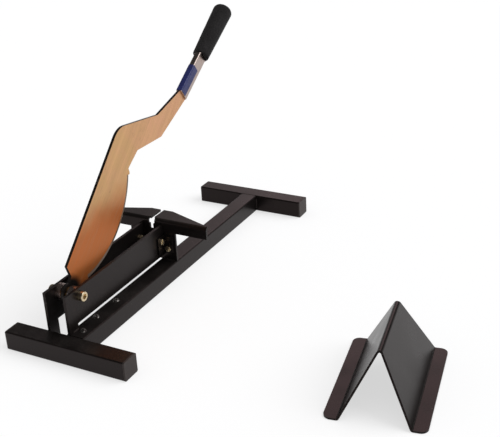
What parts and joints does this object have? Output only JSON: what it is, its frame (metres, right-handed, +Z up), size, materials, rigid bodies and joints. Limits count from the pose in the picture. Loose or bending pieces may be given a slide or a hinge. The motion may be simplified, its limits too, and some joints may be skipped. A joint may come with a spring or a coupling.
{
  "type": "laminate flooring cutter",
  "caption": "Lever-operated flooring cutter: long curved blade pivoted between bed plates on an I-shaped tube base, with a rear fence and a folded board support.",
  "frame": {"origin": "on the floor, at the middle of the spine tube's underside", "axes": "+X along the feet, towards the board support; +Y from the front foot to the rear foot; +Z up"},
  "size_m": [0.6787, 0.63, 0.4103],
  "materials": {
    "frame_paint": "satin black paint",
    "cap_plastic": "fine grained",
    "zinc_plate": "yellow-tinted zinc plating",
    "plain_steel": "bright drawn steel",
    "blade_steel": "ground satin steel with a warm tint",
    "bush_bronze": "turned bronze",
    "blue_band": "smooth film",
    "grip_foam": "closed-cell foam"
  },
  "bodies": {
    "frame": {"front_foot": "frame_paint", "rear_foot": "frame_paint", "spine": "frame_paint", "foot_end_caps": "cap_plastic", "spine_screws": "frame_paint", "left_cheek": "frame_paint", "right_cheek": "frame_paint", "fence": "frame_paint", "left_bracket": "frame_paint", "right_bracket": "frame_paint", "bracket_bolts": "zinc_plate", "bracket_nuts": "zinc_plate", "pivot_bolt": "zinc_plate", "pivot_nut": "zinc_plate", "lock_ring": "cap_plastic", "pivot_washer": "zinc_plate", "pivot_sleeve": "plain_steel", "spacer_rings": "plain_steel"},
    "lever": {"blade": "blade_steel", "blade_bush": "bush_bronze", "handle_tube": "plain_steel", "handle_rivets": "plain_steel", "label_band": "blue_band", "grip": "grip_foam"},
    "support": {"board_support": "frame_paint"}
  },
  "joints": [
    {"name": "lever_pivot", "type": "hinge", "parent": "frame", "child": "lever", "pos_m": [-0.03, -0.249, 0.083], "axis": [1, 0, 0], "range_deg": [-32, 40]},
    {"name": "support_slide", "type": "slide", "parent": "frame", "child": "support", "axis": [1, 0, 0], "range_m": [-0.2, 0.3]}
  ]
}
